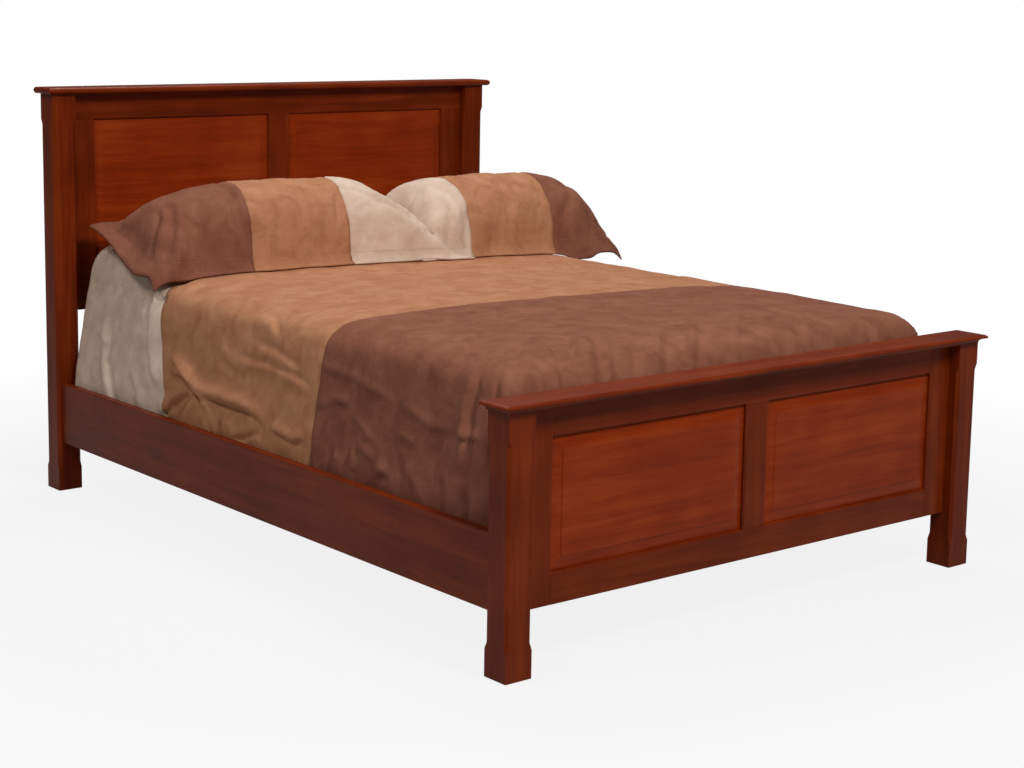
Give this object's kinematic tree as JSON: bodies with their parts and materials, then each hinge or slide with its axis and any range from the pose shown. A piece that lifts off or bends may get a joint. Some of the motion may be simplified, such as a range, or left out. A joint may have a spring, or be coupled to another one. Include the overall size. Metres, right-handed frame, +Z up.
{
  "type": "panel bed",
  "caption": "Wooden panel bed with frame-and-panel head and foot boards, knock-down side rails, slats, mattress, banded comforter and pillow shams.",
  "frame": {"origin": "On the floor, under the middle of the bed, halfway between the head and foot posts.", "axes": "+Z up; +Y from the foot board to the head board; +X to the right, seen from the foot end."},
  "size_m": [1.6974, 2.2614, 1.2352],
  "materials": {
    "cherry_wood": "satin",
    "pine_wood": "matte",
    "zinc_steel": "satin",
    "glide_nickel": "satin",
    "ticking": "matte",
    "suede_brown": "matte",
    "suede_tan": "matte",
    "suede_cream": "matte"
  },
  "bodies": {
    "frame": {"foot_post_left": "cherry_wood", "foot_post_right": "cherry_wood", "head_post_left": "cherry_wood", "head_post_right": "cherry_wood", "foot_cap": "cherry_wood", "head_cap": "cherry_wood", "foot_top_rail": "cherry_wood", "foot_bottom_rail": "cherry_wood", "foot_stile_left": "cherry_wood", "foot_stile_right": "cherry_wood", "foot_mullion": "cherry_wood", "foot_panel_left": "cherry_wood", "foot_panel_right": "cherry_wood", "head_top_rail": "cherry_wood", "head_bottom_rail": "cherry_wood", "head_stile_left": "cherry_wood", "head_stile_right": "cherry_wood", "head_mullion": "cherry_wood", "head_panel_left": "cherry_wood", "head_panel_right": "cherry_wood", "head_stretcher": "cherry_wood", "side_rail_left": "cherry_wood", "side_rail_right": "cherry_wood", "rail_ledger_left": "pine_wood", "rail_ledger_right": "pine_wood", "slats": "pine_wood", "centre_beam": "pine_wood", "centre_legs": "pine_wood", "cap_dowels": "pine_wood", "hook_plates_left": "zinc_steel", "hook_plates_right": "zinc_steel", "keeper_plates_left": "zinc_steel", "keeper_plates_right": "zinc_steel", "beam_hangers": "zinc_steel", "leg_bolts": "zinc_steel", "post_glides": "glide_nickel", "foundation": "ticking", "mattress": "ticking", "head_pillows": "ticking", "comforter_brown": "suede_brown", "comforter_tan": "suede_tan", "comforter_cream": "suede_cream"},
    "foot_leveller": {"leveller_foot": "zinc_steel"},
    "middle_leveller": {"leveller_middle": "zinc_steel"},
    "head_leveller": {"leveller_head": "zinc_steel"},
    "left_pillow": {"pillow_left_brown": "suede_brown", "pillow_left_tan": "suede_tan", "pillow_left_cream": "suede_cream"},
    "right_pillow": {"pillow_right_cream": "suede_cream", "pillow_right_tan": "suede_tan", "pillow_right_brown": "suede_brown"}
  },
  "joints": [
    {"name": "leveller_foot_screw", "type": "slide", "parent": "frame", "child": "foot_leveller", "axis": [0, 0, 1], "range_m": [0, 0.012]},
    {"name": "leveller_middle_screw", "type": "slide", "parent": "frame", "child": "middle_leveller", "axis": [0, 0, 1], "range_m": [0, 0.012]},
    {"name": "leveller_head_screw", "type": "slide", "parent": "frame", "child": "head_leveller", "axis": [0, 0, 1], "range_m": [0, 0.012]},
    {"name": "left_pillow_lift", "type": "slide", "parent": "frame", "child": "left_pillow", "axis": [0, 0, 1], "range_m": [0, 0.25]},
    {"name": "right_pillow_lift", "type": "slide", "parent": "frame", "child": "right_pillow", "axis": [0, 0, 1], "range_m": [0, 0.25]}
  ]
}
